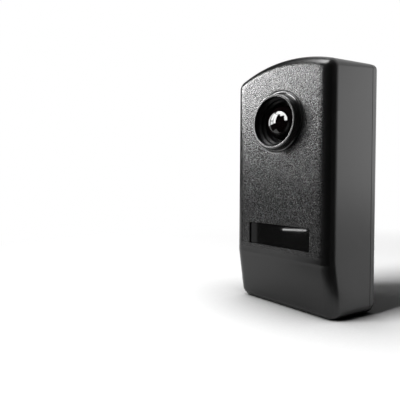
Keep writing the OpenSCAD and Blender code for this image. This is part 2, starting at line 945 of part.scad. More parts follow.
module trimmer_body() color("#2f5fb3") upright() {
    recess_z = trimmer_h - rotor_t;
    on_board(trimmer_place) difference() {
        block([trimmer_w, trimmer_w, trimmer_h], trimmer_edge_r);
        translate([0, 0, recess_z]) cylinder(rotor_t + over, rotor_r + rotor_gap, rotor_r + rotor_gap);
        translate([0, 0, recess_z - rotor_pin_l - rotor_gap]) {
            cylinder(trimmer_h, rotor_pin_r + slack, rotor_pin_r + slack);
        }
    }
}

module trimmer_rotor() color("#f2f2ee") upright() {
    recess_z = trimmer_h - rotor_t;
    on_board(trimmer_place) translate([0, 0, recess_z + slack]) difference() {
        union() {
            cylinder(rotor_t, rotor_r, rotor_r);
            translate([0, 0, -rotor_pin_l]) cylinder(rotor_pin_l, rotor_pin_r, rotor_pin_r);
        }
        translate([-rotor_slot_w / 2, -rotor_r * (1 - rotor_tail_share), rotor_t - rotor_slot_d]) {
            cube([rotor_slot_w, 2 * rotor_r, rotor_slot_d + over]);
        }
        translate([-rotor_r * (1 - rotor_tail_share), -rotor_slot_w / 2, rotor_t - rotor_slot_d]) {
            cube([2 * rotor_r * (1 - rotor_tail_share), rotor_slot_w, rotor_slot_d + over]);
        }
    }
}

module at_pins(count = pins) {
    for (i = [0:count - 1]) {
        translate([(i - (pins - 1) / 2) * pin_pitch, 0, 0]) children();
    }
}

module jumper_strip() color("#1c1c1e") upright() {
    on_board(jumper_place) linear_extrude(strip_h) difference() {
        round_square([pins * pin_pitch, pin_pitch], cap_edge_r);
        at_pins() square([pin_w + 2 * slack, pin_w + 2 * slack], center = true);
    }
}

module jumper_pins() color("#d9b45a") upright() {
    on_board(jumper_place) at_pins() linear_extrude(pin_h) square([pin_w, pin_w], center = true);
}

module jumper_cap() color("#b02a2a") upright() {
    bore = pin_w + 2 * cap_gap;
    size = [pin_pitch + bore + 2 * cap_wall, bore + 2 * cap_wall + cap_grip];
    on_board(jumper_place) translate([0, 0, strip_h + strip_gap]) difference() {
        translate([-pin_pitch / 2, 0, 0]) block([size.x, size.y, cap_h], cap_edge_r);
        at_pins(2) translate([0, 0, -over]) linear_extrude(pin_h + over - strip_h - strip_gap + over) {
            square([bore, bore], center = true);
        }
    }
}

rear_base();
front_cover();
cover_gasket();
cover_screw();
cable_grommet();
window_pane();
lens_dome();
lens_seal();
lens_ring();
circuit_board();
board_screws();
sensor_shroud();
infrared_sensor();
terminal_block();
terminal_screws();
wire_clamps();
relay();
main_capacitor();
small_capacitors();
bridge_rectifier();
voltage_regulator();
surge_varistor();
amplifier_chip();
resistors();
led_spacers();
status_leds();
trimmer_body();
trimmer_rotor();
jumper_strip();
jumper_pins();
jumper_cap();
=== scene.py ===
"""Looks of a gate safety photocell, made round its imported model.

Shapes are worked out in millimetres with the case on its back: x across, y up the case and z off
the wall. stand() turns them upright into the model's frame, in metres.
"""
import math

import bmesh
import bpy
import numpy as np
from mathutils import Matrix, Vector
from mathutils.geometry import delaunay_2d_cdt


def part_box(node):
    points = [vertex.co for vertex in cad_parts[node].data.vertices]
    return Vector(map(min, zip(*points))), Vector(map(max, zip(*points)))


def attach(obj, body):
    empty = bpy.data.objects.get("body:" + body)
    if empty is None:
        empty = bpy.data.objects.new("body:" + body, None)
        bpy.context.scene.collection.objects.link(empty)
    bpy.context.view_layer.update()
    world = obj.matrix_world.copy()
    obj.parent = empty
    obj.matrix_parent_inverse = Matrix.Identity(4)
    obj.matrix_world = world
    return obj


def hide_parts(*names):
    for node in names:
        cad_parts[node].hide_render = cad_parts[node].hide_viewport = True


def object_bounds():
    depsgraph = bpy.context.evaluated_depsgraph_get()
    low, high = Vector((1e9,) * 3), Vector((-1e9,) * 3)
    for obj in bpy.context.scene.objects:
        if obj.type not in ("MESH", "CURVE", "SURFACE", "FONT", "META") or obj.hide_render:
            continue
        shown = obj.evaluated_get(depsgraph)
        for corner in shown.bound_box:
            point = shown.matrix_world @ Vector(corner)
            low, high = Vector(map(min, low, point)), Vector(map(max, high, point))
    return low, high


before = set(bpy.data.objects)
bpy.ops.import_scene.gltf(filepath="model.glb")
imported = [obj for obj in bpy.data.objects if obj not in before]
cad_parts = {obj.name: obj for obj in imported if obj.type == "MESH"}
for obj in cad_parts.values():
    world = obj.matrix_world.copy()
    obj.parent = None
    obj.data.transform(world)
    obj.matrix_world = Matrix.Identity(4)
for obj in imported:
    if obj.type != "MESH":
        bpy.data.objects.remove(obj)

MM = 0.001
cad_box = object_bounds()
wall_at = cad_box[1].y / MM


def stand(points):
    """Turns points (x, y, z) of the lying case into the frame: (x, wall - z, y), in metres."""
    p = np.asarray(points, float)
    return np.stack([p[..., 0], wall_at - p[..., 2], p[..., 1]], axis=-1) * MM


def lying(node):
    """Lowest and highest corner of a node, as x, y, z of the lying case, in millimetres."""
    lo, hi = (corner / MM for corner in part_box(node))
    return np.array([lo.x, lo.z, wall_at - hi.y]), np.array([hi.x, hi.z, wall_at - lo.y])


# Main sizes, from the model
cover_lo, cover_hi = lying("front_cover")
dome_lo, dome_hi = lying("lens_dome")
pane_lo, pane_hi = lying("window_pane")
body_w = cover_hi[0] - cover_lo[0]
body_h = cover_hi[1] - cover_lo[1]
seam_z = cover_lo[2]
lip_z = cover_hi[2]
lens_y = (dome_lo[1] + dome_hi[1]) / 2
window_y = (pane_lo[1] + pane_hi[1]) / 2

# Sizes of the moulded case, and what a cut runs past a surface
collar_h = 3.5
body_d = lip_z - collar_h
arch_rise = 5.8
foot_back = 3.6
crease_y = 22.6
wall = 2.2
draft = 1
over = 1
face_edge_r = 4.5
top_corner_r = 2.6
low_corner_r = 4.8
soft_edge = 0.12
spigot_z = 9
lean = math.atan(foot_back / crease_y)
inner_z = body_d - wall
face_y = wall_at - body_d

# Collar, well and lens
dome_r = 7.5
dome_z = dome_hi[2] - dome_r
aperture_r = 7.8
second_r = 8.9
first_r = 9.8
well_r = 10.7
collar_r = 12.2
collar_draft = 0.3
collar_fillet_r = 1
lip_edge_r = 0.4
well_edge_r = 0.15
first_z = lip_z - 2.6
second_z = lip_z - 4.7
tier_slope = 0.6
seat_z = dome_z - 1.4
seat_r = 9.4
barrel_r = 11.4
barrel_z = dome_z - 6

# Foot of the cover, with its screw, and the ribs inside
screw_z = seam_z + 5
screw_slot_r = 1.7
screw_head_r = 2.8
head_gap = 0.2
head_sink = 1.9
head_room = 0.5
pad_w = 10.5
pad_t = 1.6
rib_t = 1.2
rib_d = 1.3
rib_shares = (0.34, 0.55, 0.76)

# Window
slack = 0.05
stake_r = 0.8
stake_head_r = 1.3
stake_head_t = 0.6
pane_ear = 3.4
pane_flange = 2
pane_corner = 2
pane_t = 1.2
window_w = pane_hi[0] - pane_lo[0] - 2 * pane_ear
window_h = pane_hi[1] - pane_lo[1] - 2 * pane_flange


def arc(centre, radius, start, end, steps):
    """Points centre + radius * (cos a, sin a), with the angle a in even steps, in degrees."""
    a = np.radians(np.linspace(start, end, steps + 1))
    return np.asarray(centre) + radius * np.stack([np.cos(a), np.sin(a)], axis=-1)


def soften(points, reach, steps=4, closed=False):
    """Rounds each corner B of a line with the curve (1-t)^2 A + 2t(1-t) B + t^2 C between the points
    A and C that lie at the reach from B along its two edges, or at the edges' middle if that is nearer."""
    p = np.asarray(points, float)
    before, after = np.roll(p, 1, axis=0), np.roll(p, -1, axis=0)

    def towards(end):
        gap = end - p
        length = np.linalg.norm(gap, axis=1, keepdims=True)
        return p + gap * np.minimum(reach / np.maximum(length, 1e-9), 0.5)

    a, c = towards(before), towards(after)
    t = np.linspace(0, 1, steps + 1)[None, :, None]
    b = p[:, None, :]
    curve = (1 - t) ** 2 * a[:, None, :] + 2 * t * (1 - t) * b + t ** 2 * c[:, None, :]
    if closed:
        return curve.reshape(-1, p.shape[1])
    return np.concatenate([p[:1], curve[1:-1].reshape(-1, p.shape[1]), p[-1:]])


class Skin:
    """Grids and flat sheets of points that are welded into one closed piece."""

    def __init__(self):
        self.points, self.faces, self.finish, self.count = [], [], [], 0

    def add(self, points, faces, finish=0):
        points = np.asarray(points, float).reshape(-1, 3)
        self.points.append(points)
        self.faces += (np.asarray(faces) + self.count).tolist()
        self.finish += [finish] * len(faces)
        self.count += len(points)
        return self

    def grid(self, points, finish=0, round_rows=False, round_columns=False):
        """Adds the quads between neighbours of a grid of points, rows by columns."""
        rows, columns = points.shape[:2]
        r, c = np.meshgrid(
            np.arange(rows if round_rows else rows - 1),
            np.arange(columns if round_columns else columns - 1), indexing="ij")
        below, beside = (r + 1) % rows, (c + 1) % columns
        corners = [r * columns + c, r * columns + beside, below * columns + beside, below * columns + c]
        return self.add(points, np.stack(corners, axis=-1).reshape(-1, 4), finish)

    def turned(self, profile, centre, steps=96, finish=0):
        """Turns a profile of (radius, z) round the z axis at a centre (x, y)."""
        a = np.linspace(0, 2 * np.pi, steps, endpoint=False)[:, None]
        profile = np.asarray(profile, float)
        r, z = profile[None, :, 0], profile[None, :, 1]
        points = np.stack([centre[0] + r * np.cos(a), centre[1] + r * np.sin(a), z + 0 * a], axis=-1)
        return self.grid(points, finish, round_rows=True)

    def prism(self, ring, low, high, along=2):
        """A closed prism: a flat ring carried from low to high along an axis, 0 to 2, with a fan over
        each end. The ring has the two other coordinates."""
        ring = np.asarray(ring, float)
        middle = np.tile(ring.mean(axis=0), (len(ring), 1))
        rings = [(middle, low), (ring, low), (ring, high), (middle, high)]
        points = np.stack([np.insert(r, along, z, axis=1) for r, z in rings])
        return self.grid(points, round_columns=True)

    def block(self, low, high):
        """A closed block between two corners."""
        (x0, y0), (x1, y1) = low[:2], high[:2]
        return self.prism([(x0, y0), (x1, y0), (x1, y1), (x0, y1)], low[2], high[2])

    def mesh(self, name, merge=1e-4):
        """Stands the points up, welds them, and turns every face outwards."""
        data = bpy.data.meshes.new(name)
        data.from_pydata(stand(np.concatenate(self.points)).tolist(), [], self.faces)
        data.polygons.foreach_set("material_index", self.finish)
        tidy(data, merge * MM)
        return data


def tidy(data, merge):
    """Welds a closed mesh's doubles, drops what has no area, and turns its faces outwards."""
    work = bmesh.new()
    work.from_mesh(data)
    bmesh.ops.remove_doubles(work, verts=work.verts, dist=merge)
    bmesh.ops.dissolve_degenerate(work, edges=work.edges, dist=merge / 2)
    bmesh.ops.recalc_face_normals(work, faces=work.faces)
    work.to_mesh(data)
    work.free()


sharp_angle = math.radians(32)


def shade(obj, bevel=0.0):
    """Smooth shading up to the sharp angle, true on flat faces, and small rounded edges if asked."""
    data = obj.data
    data.polygons.foreach_set("use_smooth", [True] * len(data.polygons))
    data.set_sharp_from_angle(angle=sharp_angle)
    if bevel:
        edge = obj.modifiers.new("edge", "BEVEL")
        edge.width = bevel * MM
        edge.segments = 2
        edge.limit_method = "ANGLE"
        edge.angle_limit = sharp_angle
    normals = obj.modifiers.new("normals", "WEIGHTED_NORMAL")
    normals.keep_sharp = not bevel
    return obj


def piece(data, materials, body, nodes):
    """Makes a mesh a piece of the object that rides on a body, and stands for the nodes named."""
    obj = bpy.data.objects.new(data.name, data)
    bpy.context.scene.collection.objects.link(obj)
    for material in materials:
        data.materials.append(material)
    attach(obj, body)
    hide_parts(*nodes)
    return obj


class Value:
    """A shader socket that Python arithmetic works on: each expression adds its Math nodes."""

    def __init__(self, tree, socket=None):
        self.tree, self.socket = tree, socket

    def node(self, kind, inputs, output=0, stops=(), **settings):
        """Adds a node: its settings first, then a ramp's stops, then values or links of its sockets."""
        node = self.tree.nodes.new(kind)
        for key, value in settings.items():
            setattr(node, key, value)
        for place, (at, colour) in enumerate(stops):
            ramp = node.color_ramp
            stop = ramp.elements[place] if place < 2 else ramp.elements.new(at)
            stop.position, stop.color = at, colour
        for key, value in inputs.items():
            if isinstance(value, Value):
                self.tree.links.new(value.socket, node.inputs[key])
            else:
                node.inputs[key].default_value = value
        return Value(self.tree, node.outputs[output])

    def maths(self, operation, *values):
        return self.node("ShaderNodeMath", dict(enumerate(values)), operation=operation)

    def __add__(self, other):
        return self.maths("ADD", self, other)

    def __sub__(self, other):
        return self.maths("SUBTRACT", self, other)

    def __mul__(self, other):
        return self.maths("MULTIPLY", self, other)

    def __rsub__(self, other):
        return self.maths("SUBTRACT", other, self)

    __radd__ = __add__
    __rmul__ = __mul__

    def between(self, low, high):
        """0 below low and 1 above high, with a smooth step from one to the other."""
        inputs = {"Value": self, "From Min": low, "From Max": high}
        return self.node("ShaderNodeMapRange", inputs, interpolation_type="SMOOTHSTEP")

    def noise(self, size, detail=2.0, rough=0.5):
        """Noise of 0 to 1 round 0.5 over a place, with blotches about size millimetres apart."""
        inputs = {"Vector": self, "Scale": 1 / (size * MM), "Detail": detail, "Roughness": rough}
        return self.node("ShaderNodeTexNoise", inputs)

    def cells(self, size, randomness=1.0, **settings):
        """Distance to the nearest of points strewn about size millimetres apart."""
        inputs = {"Vector": self, "Scale": 1 / (size * MM), "Randomness": randomness}
        return self.node("ShaderNodeTexVoronoi", inputs, **settings)

    def blend(self, low, high):
        """A colour: low where this value is 0 and high where it is 1."""
        inputs = {0: self, 6: low, 7: high}
        return self.node("ShaderNodeMix", inputs, output=2, data_type="RGBA")


class Finish:
    """A material: its principled shader, and the place on the piece that its patterns read."""

    def __init__(self, name, **constants):
        self.material = bpy.data.materials.new(name)
        self.material.use_nodes = True
        self.tree = self.material.node_tree
        self.shader = self.tree.nodes["Principled BSDF"]
        self.place = Value(self.tree).node("ShaderNodeTexCoord", {}, output=3)
        for key, value in constants.items():
            self.set(key.replace("_", " "), value)

    def set(self, key, value):
        socket = self.shader.inputs[key]
        if isinstance(value, Value):
            self.tree.links.new(value.socket, socket)
        else:
            socket.default_value = value
        return self

    def bump(self, height, depth):
        """Raises the surface by height, where 1 stands for a depth in millimetres."""
        inputs = {"Height": height, "Distance": depth * MM, "Strength": 1.0}
        return self.set("Normal", self.place.node("ShaderNodeBump", inputs))

    def axis(self, name):
        """One coordinate of the place, in millimetres of the frame: X, Y or Z."""
        return self.place.node("ShaderNodeSeparateXYZ", {0: self.place}, output=name) * (1 / MM)


def grey(level):
    return (level, level, level, 1.0)


def colour(r, g, b):
    return (r, g, b, 1.0)


# Finishes of the case

satin_rough = 0.29


def grained_plastic(base=0.004, rough=0.225):
    """Black plastic with a pebbled mould grain on the flat of the face, which fades into the satin of
    the leaning part, the rounded edge and the collar's foot. The face also rolls off a little
    towards its sides and the crease."""
    f = Finish("black_grained_plastic")
    cloud = f.place.noise(18, detail=4.0)
    fine = f.place.noise(0.25, detail=1.0)
    x, y = f.axis("X"), f.axis("Z")
    side = 1 - x.maths("ABSOLUTE", x).between(body_w / 2 - edge_inset - 2, body_w / 2 - edge_inset + 2.5)
    from_arch = x.maths("SQRT", x * x + (y - arch_y) * (y - arch_y))
    crown = 1 - from_arch.between(arch_r - edge_inset, arch_r - edge_inset + 3)
    from_lens = x.maths("SQRT", x * x + (y - lens_y) * (y - lens_y))
    foot = from_lens.between(collar_r + collar_fillet_r, collar_r + collar_fillet_r + 1)
    flat = y.between(crease_y + 0.5, crease_y + 4.5) * side * crown * foot
    pebbles = 1 - f.place.cells(0.5)
    crumbs = f.place.noise(0.42, detail=1.0)
    grain = pebbles * 0.7 + crumbs * 0.9
    # Painted shade and sheen of the grain: its colour is darker in the pits and paler on the tops, following
    # the bump's height.
    painted_grain_shading = (crumbs * 0.6 + pebbles * 0.4).between(0.4, 0.62) * flat
    f.set("Base Color", painted_grain_shading.blend(grey(base * 0.5), grey(base * 5)))
    grained = flat * (rough - satin_rough + crumbs * 0.06)
    f.set("Roughness", satin_rough - 0.05 + cloud * 0.07 + fine * 0.04 + grained)
    rolled = side * 0.7 + y.between(crease_y - 2, crease_y + 5) * 3.8
    return f.bump(grain * flat + rolled + (fine + cloud * 2) * 0.01, 0.13).material


def satin_plastic(name, base=0.005, rough=satin_rough, wave=0.0015, gleam=0.5):
    """Black plastic from a polished mould: nearly smooth, with faint flow marks and handling haze."""
    f = Finish(name, Specular_IOR_Level=gleam)
    cloud = f.place.noise(18, detail=4.0)
    fine = f.place.noise(0.25, detail=1.0)
    f.set("Base Color", cloud.blend(grey(base * 0.7), grey(base * 1.4)))
    f.set("Roughness", rough - 0.05 + cloud * 0.07 + fine * 0.04)
    return f.bump(fine + cloud * 2, wave).material


def glossy_black(name, base, rough, tint=(1.0, 1.0, 1.0)):
    """Polished dark plastic, with a trace of haze that varies over it."""
    f = Finish(name)
    haze = f.place.noise(5, detail=4.0)
    low = colour(*(base * 0.7 * t for t in tint))
    high = colour(*(base * 1.3 * t for t in tint))
    f.set("Base Color", haze.blend(low, high))
    f.set("Roughness", rough + haze * 0.02)
    return f.material


def soft_rubber(name, base):
    """Matt black rubber with a dusty bloom."""
    f = Finish(name)
    bloom = f.place.noise(3, detail=5.0, rough=0.65)
    grain = f.place.noise(0.12, detail=2.0)
    f.set("Base Color", bloom.blend(grey(base * 0.7), grey(base * 1.6)))
    f.set("Roughness", 0.7 + bloom * 0.2)
    return f.bump(grain, 0.01).material


def lens_plastic():
    """Infrared-pass dome: almost black, polished, with a deep red-brown body."""
    f = Finish("infrared_pass_plastic", IOR=1.52)
    depth = f.place.noise(4, detail=2.0)
    f.set("Base Color", depth.blend(colour(0.0012, 0.0008, 0.0009), colour(0.003, 0.0016, 0.0018)))
    f.set("Roughness", 0.03 + depth * 0.02)
    return f.material


# Finishes of the inner pieces

def plated_steel():
    """Zinc-plated steel: fine turned marks and a soft cloudy passivation."""
    f = Finish("plated_steel")
    cloud = f.place.noise(1.5, detail=4.0)
    marks = f.place.noise(0.08, detail=2.0)
    f.set("Base Color", cloud.blend(colour(0.46, 0.47, 0.5), colour(0.7, 0.7, 0.68)))
    f.set("Metallic", 1.0)
    f.set("Roughness", 0.26 + cloud * 0.12 + marks * 0.08)
    return f.bump(marks, 0.004).material


def board_lacquer():
    """Green solder mask over copper tracks and pads, which show as lighter, slightly raised bands."""
    f = Finish("green_board_lacquer", Coat_Weight=0.35, Coat_Roughness=0.12)
    cells = f.place.cells(5.2, randomness=0.35, distance="CHEBYCHEV", feature="F1")
    holes = f.place.cells(4.4, randomness=0.8)
    tracks = cells.between(0.46, 0.5) * (1 - cells.between(0.56, 0.6))
    pads = 1 - holes.between(0.07, 0.1)
    copper = tracks.maths("MAXIMUM", tracks, pads)
    weave = f.place.noise(0.4, detail=2.0)
    shade_of = copper * 0.8 + weave * 0.2
    f.set("Base Color", shade_of.blend(colour(0.006, 0.07, 0.024), colour(0.02, 0.16, 0.055)))
    f.set("Roughness", 0.34 - copper * 0.08 + weave * 0.05)
    return f.bump(copper + weave * 0.1, 0.03).material


def moulded(name, tint, rough=0.42, gloss=0.0):
    """Coloured moulded plastic with slight flow marks and a fine spark-eroded texture."""
    f = Finish(name, Coat_Weight=gloss, Coat_Roughness=0.1)
    flow = f.place.noise(4, detail=4.0)
    grain = f.place.noise(0.1, detail=2.0)
    low = colour(*(t * 0.82 for t in tint))
    high = colour(*(min(1.0, t * 1.16) for t in tint))
    f.set("Base Color", flow.blend(low, high))
    f.set("Roughness", rough - 0.05 + flow * 0.08 + grain * 0.05)
    return f.bump(grain + flow, 0.004).material


def banded_lacquer():
    """Resistor lacquer: beige with plain rings across the body, and bright tinned leads."""
    f = Finish("resistor_lacquer")
    lo, hi = lying("resistors")
    middle = (lo[1] + hi[1]) / 2
    along = f.axis("Z") - middle
    half_body = 3.14
    rings = [
        (-2.3, (0.18, 0.08, 0.03)), (-1.1, (0.35, 0.02, 0.015)), (0.0, (0.02, 0.02, 0.02)),
        (2.2, (0.45, 0.3, 0.05))]
    body = f.place.noise(1.2, detail=3.0).blend(colour(0.42, 0.33, 0.18), colour(0.55, 0.45, 0.27))
    lead = along.maths("ABSOLUTE", along).between(half_body, half_body + 0.04)
    for at, tint in rings:
        off = (along - at).maths("ABSOLUTE", along - at)
        mask = 1 - off.between(0.24, 0.3)
        body = mask.blend(body, colour(*tint))
    f.set("Base Color", lead.blend(body, colour(0.62, 0.63, 0.64)))
    f.set("Metallic", lead)
    f.set("Roughness", 0.38 - lead * 0.12)
    return f.material


def capped_sleeve(node):
    """Capacitor: dark blue sleeve with a paler stripe down one side, and a bright scored lid."""
    f = Finish("capacitor_sleeve_" + node)
    lo, hi = lying(node)
    top = wall_at - hi[2]
    height = f.axis("Y")
    across = f.axis("X")
    lid = 1 - height.between(top + 0.05, top + 0.25)
    stripe = 1 - across.between(lo[0] + 0.5, lo[0] + 0.8)
    brushed = f.place.noise(0.3, detail=3.0)
    sleeve = stripe.blend(colour(0.012, 0.022, 0.06), colour(0.32, 0.36, 0.42))
    f.set("Base Color", lid.blend(sleeve, colour(0.7, 0.71, 0.73)))
    f.set("Metallic", lid)
    f.set("Roughness", 0.3 + brushed * 0.12)
    return f.bump(brushed, 0.006).material


def legged_epoxy(name, node, leg_top, base=0.016):
    """Black epoxy body on bright tinned legs, which end at leg_top above the board."""
    f = Finish(name)
    leg_end = wall_at - lying(node)[0][2] - leg_top
    grain = f.place.noise(0.15, detail=2.0)
    cloud = f.place.noise(2.5, detail=3.0)
    foot = f.axis("Y").between(leg_end - 0.02, leg_end + 0.02)
    body = cloud.blend(grey(base * 0.75), grey(base * 1.5))
    f.set("Base Color", foot.blend(body, colour(0.66, 0.67, 0.68)))
    f.set("Metallic", foot)
    f.set("Roughness", 0.5 - foot * 0.2 + cloud * 0.1)
    return f.bump(grain, 0.008).material


def clear_epoxy():
    """Tinted clear lamp body, slightly clouded inside."""
    f = Finish("red_lamp_epoxy", Transmission_Weight=0.55, IOR=1.5)
    cloud = f.place.noise(1.0, detail=2.0)
    f.set("Base Color", cloud.blend(colour(0.35, 0.006, 0.008), colour(0.6, 0.02, 0.02)))
    f.set("Roughness", 0.08 + cloud * 0.08)
    return f.material


def gold_flash():
    """Gold-flashed pins with a slightly uneven plating."""
    f = Finish("gold_flashed_pin", Metallic=1.0)
    cloud = f.place.noise(0.6, detail=3.0)
    f.set("Base Color", cloud.blend(colour(0.62, 0.42, 0.14), colour(0.85, 0.65, 0.3)))
    f.set("Roughness", 0.22 + cloud * 0.1)
    return f.material


# The case's outline. Every ring of it has the same samples, each with its own outward direction:
# the foot, the low corner, the side with a few samples close together at the crease, the top
# corner and the arch, first on the right and then mirrored.

edge_crease_y = crease_y + face_edge_r * (1 - math.cos(lean)) / math.sin(lean)
arch_r = ((body_w / 2) ** 2 + arch_rise ** 2) / (2 * arch_rise)
arch_y = body_h - arch_r
edge_inset = draft + face_edge_r


def top_corner(radius):
    """Centre of the circle that touches the side and the arch, and the angle where it meets the arch."""
    x = body_w / 2 - radius
    y = math.sqrt((arch_r - radius) ** 2 - x ** 2)
    return np.array([x, arch_y + y]), math.degrees(math.atan2(y, x))


fan = np.linspace(1, 0, 6)
side_low, side_high = np.linspace(0, 1, 10)[1:-1], np.linspace(0, 1, 26)[1:-1]
foot_share = np.linspace(0, 1, 15)[:-1]
corner_angles = np.linspace(-90, 0, 19)
corner_end, arch_start = top_corner(top_corner_r)[1], top_corner(max(top_corner_r, edge_inset))[1]
crown_angles = np.concatenate([
    np.linspace(0, corner_end, 17)[:-1], np.linspace(corner_end, arch_start, 4)[:-1],
    np.linspace(arch_start, 90, 31)])
half_angles = np.concatenate([
    np.full(len(foot_share), -90), corner_angles, np.zeros(len(side_low) + len(fan) + len(side_high)),
    crown_angles])
half_tilt = np.concatenate([
    np.ones(len(foot_share) + len(corner_angles) + len(side_low)), fan,
    np.zeros(len(side_high) + len(crown_angles))]) * lean


def mirrored(values, flip):
    """Adds the left half of a run of samples, without its first and last, which lie in the middle."""
    return np.concatenate([values, flip(values[-2:0:-1])])


outward = np.stack([np.cos(np.radians(half_angles)), np.sin(np.radians(half_angles))], axis=-1)
outward = mirrored(outward, lambda v: v * [-1, 1])
tilt = mirrored(half_tilt, lambda v: v)


def outline(inset, lowered=0.0, spread=1.0):
    """The outline moved inwards by inset. A corner keeps its centre until the inset takes up its
    radius, and is one point from there on. The foot and its corners are lowered by lowered, and the
    samples at the crease lie spread apart as they do on the rounded edge."""
    low_r, top_r = max(low_corner_r, inset), max(top_corner_r, inset)
    low = np.array([body_w / 2 - low_r, low_r - lowered])
    top, end = top_corner(top_r)
    side = body_w / 2 - inset
    fan_y = edge_crease_y - spread * face_edge_r * (np.sin(lean * fan) - math.sin(lean) / 2)
    a = np.radians(crown_angles)[:, None]
    way = np.concatenate([np.cos(a), np.sin(a)], axis=1)
    crown = np.where(
        crown_angles[:, None] < end, top + (top_r - inset) * way, [0, arch_y] + (arch_r - inset) * way)
    right = np.concatenate([
        np.column_stack([foot_share * low[0], np.full(len(foot_share), low[1] - low_r + inset)]),
        arc(low, low_r - inset, -90, 0, len(corner_angles) - 1),
        np.column_stack([np.full(len(side_low), side), low[1] + side_low * (fan_y[0] - low[1])]),
        np.column_stack([np.full(len(fan), side), fan_y]),
        np.column_stack([np.full(len(side_high), side), fan_y[-1] + side_high * (top[1] - fan_y[-1])]),
        crown])
    return mirrored(right, lambda v: v * [-1, 1])


def ring(inset, z):
    """The outline moved inwards by inset, at one height off the wall."""
    flat = outline(inset)
    return np.column_stack([flat, np.full(len(flat), z)])


def edge_centres():
    """Centres of the ball that rounds the edge round the face."""
    flat = outline(edge_inset, draft, 0)
    low = body_d - face_edge_r / math.cos(lean) - (crease_y - flat[:, 1]) * math.tan(lean)
    return np.column_stack([flat, np.minimum(body_d - face_edge_r, low)])


def edge_strip(radius, start, steps):
    """The rounded edge: centre + radius * n, where n turns evenly from the wall's normal to the
    face's. The wall's normal is square to the straight line from the start ring to the ball."""
    centre = edge_centres()
    gap = start - centre
    out = (gap[:, :2] * outward).sum(axis=1)
    down = -gap[:, 2]
    rise = np.arccos(np.clip(radius / np.hypot(out, down), -1, 1)) - np.arctan2(down, out)
    wall_n = np.column_stack([outward * np.cos(rise)[:, None], np.sin(rise)])
    face_n = np.column_stack([0 * tilt, -np.sin(tilt), np.cos(tilt)])
    angle = np.arccos(np.clip((wall_n * face_n).sum(axis=1), -1, 1))[:, None]
    t = np.linspace(0, 1, steps + 1)[:, None, None]
    n = (np.sin((1 - t) * angle) * wall_n + np.sin(t * angle) * face_n) / np.sin(angle)
    return centre + radius * n


def face_height(y, radius):
    """Height of the face over the edge's ball centres, moved out by radius: flat above the crease,
    leaning below it, and round between."""
    centre_z = body_d - face_edge_r
    down = edge_crease_y - y
    bend = np.sqrt(np.maximum(radius ** 2 - down ** 2, 0))
    leaning = radius / math.cos(lean) - down * math.tan(lean)
    return centre_z + np.where(down <= 0, radius, np.where(down < radius * math.sin(lean), bend, leaning))


def slot_ring(grow=0.0, corner=0.45):
    """The window slot's outline with its rounded corners."""
    x, y = window_w / 2 + grow, window_h / 2 + grow
    corners = [(x, y, 0), (-x, y, 90), (-x, -y, 180), (x, -y, 270)]
    return np.concatenate([
        arc((px - math.copysign(corner, px), window_y + py - math.copysign(corner, py)), corner, a, a + 90, 4)
        for px, py, a in corners])


def circle_ring(radius, steps=96):
    return arc((0, lens_y), radius, 0, 360, steps)[:-1]


def face_sheet(skin, border, radius, hole_r, slot, finish):
    """Fills the face inside its border, round the collar's foot and the slot, with triangles."""
    loops = [border, circle_ring(hole_r), slot]
    points = np.concatenate(loops)
    edges, start = [], 0
    for loop in loops:
        i = np.arange(len(loop))
        edges += np.column_stack([start + i, start + (i + 1) % len(loop)]).tolist()
        start += len(loop)
    right = [i for i in range(len(border)) if border[i, 0] > 0
             and edge_crease_y - radius * math.sin(lean) - 1e-6 <= border[i, 1] <= edge_crease_y + 1e-6]
    for i in right:
        twin = int(np.argmin(np.hypot(border[:, 0] + border[i, 0], border[:, 1] - border[i, 1])))
        edges.append([i, twin])
    out = delaunay_2d_cdt([Vector(p) for p in points.tolist()], edges, [], 0, 1e-6)
    flat = np.array([tuple(p) for p in out[0]])
    triangles = np.array(out[2])
    middle = flat[triangles].mean(axis=1)
    in_hole = np.hypot(middle[:, 0], middle[:, 1] - lens_y) < hole_r * math.cos(math.pi / 96)
    reach_x, reach_y = np.abs(slot[:, 0]).max(), np.abs(slot[:, 1] - window_y).max()
    in_slot = (np.abs(middle[:, 0]) < reach_x) & (np.abs(middle[:, 1] - window_y) < reach_y)
    triangles = triangles[~(in_hole | in_slot)]
    skin.add(np.column_stack([flat, face_height(flat[:, 1], radius)]), triangles, finish)


def collar_profile():
    """Collar and well from the face's fillet over the lip, down the stepped well to the lens seat,
    and back up the barrel behind it, as (radius, z)."""
    foot = collar_r + collar_fillet_r
    top = collar_r - collar_draft - lip_edge_r
    outside = np.concatenate([
        arc((foot, body_d + collar_fillet_r), collar_fillet_r, 270, 180, 8),
        arc((top, lip_z - lip_edge_r), lip_edge_r, 0, 90, 6),
        arc((well_r + well_edge_r, lip_z - well_edge_r), well_edge_r, 90, 180, 5)])
    well = soften([
        (well_r, lip_z - well_edge_r), (well_r, first_z), (first_r, first_z - tier_slope),
        (first_r, second_z), (second_r, second_z - tier_slope), (second_r, dome_z),
        (aperture_r, dome_z), (aperture_r, seat_z)
    ], soft_edge)
    back = np.array([
        (aperture_r, seat_z), (seat_r, seat_z), (seat_r, barrel_z), (barrel_r, barrel_z),
        (barrel_r, inner_z)])
    return outside, well, back


def carved(name, body, tools):
    """Joins solids to a closed skin, or takes them out of it, in turn."""
    data = body.mesh("uncarved")
    obj = bpy.data.objects.new("carving", data)
    bpy.context.scene.collection.objects.link(obj)
    operands = []
    for place, (skin, operation) in enumerate(tools):
        operand = bpy.data.objects.new("operand", skin.mesh("operand"))
        bpy.context.scene.collection.objects.link(operand)
        carve = obj.modifiers.new("carve_%d" % place, "BOOLEAN")
        carve.operation, carve.solver, carve.object = operation, "EXACT", operand
        operands.append(operand)
    ready = obj.evaluated_get(bpy.context.evaluated_depsgraph_get())
    result = bpy.data.meshes.new_from_object(ready)
    result.name = name
    for used in [obj] + operands:
        bpy.data.meshes.remove(used.data)
    return result


